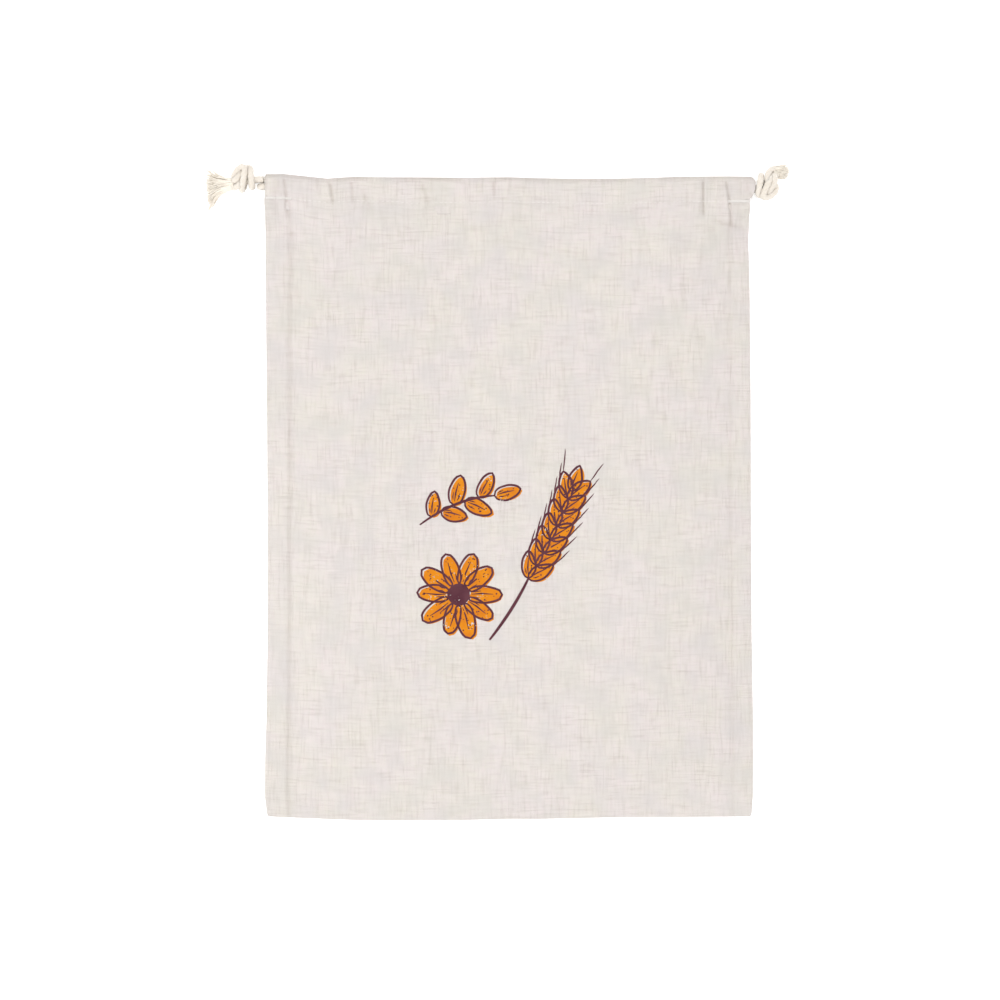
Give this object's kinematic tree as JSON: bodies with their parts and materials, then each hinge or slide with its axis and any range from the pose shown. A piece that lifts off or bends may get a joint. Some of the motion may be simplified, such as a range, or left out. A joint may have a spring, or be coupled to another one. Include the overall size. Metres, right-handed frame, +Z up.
{
  "type": "drawstring bread bag",
  "caption": "Flat linen-look drawstring bread bag with turned cord channels at the mouth and a knotted, frayed cord end at each side.",
  "frame": {"origin": "middle of the two panels' outline, on the surface that the bag lies on", "axes": "+X across the bag, to the right as seen from above; +Y along the bag, towards its mouth; +Z up from the surface"},
  "size_m": [0.3603, 0.4055, 0.0188],
  "materials": {
    "linen_cloth": "undyed slubby plain weave, matt",
    "cotton_cord": "soft twisted undyed cotton, matt",
    "frayed_yarn": "loose undyed cotton yarns, matt"
  },
  "bodies": {
    "root": {"back_panel": "linen_cloth", "front_panel": "linen_cloth", "left_cord": "cotton_cord", "right_cord": "cotton_cord", "left_knot": "cotton_cord", "right_knot": "cotton_cord", "left_tail": "frayed_yarn", "right_tail": "frayed_yarn"}
  },
  "joints": []
}
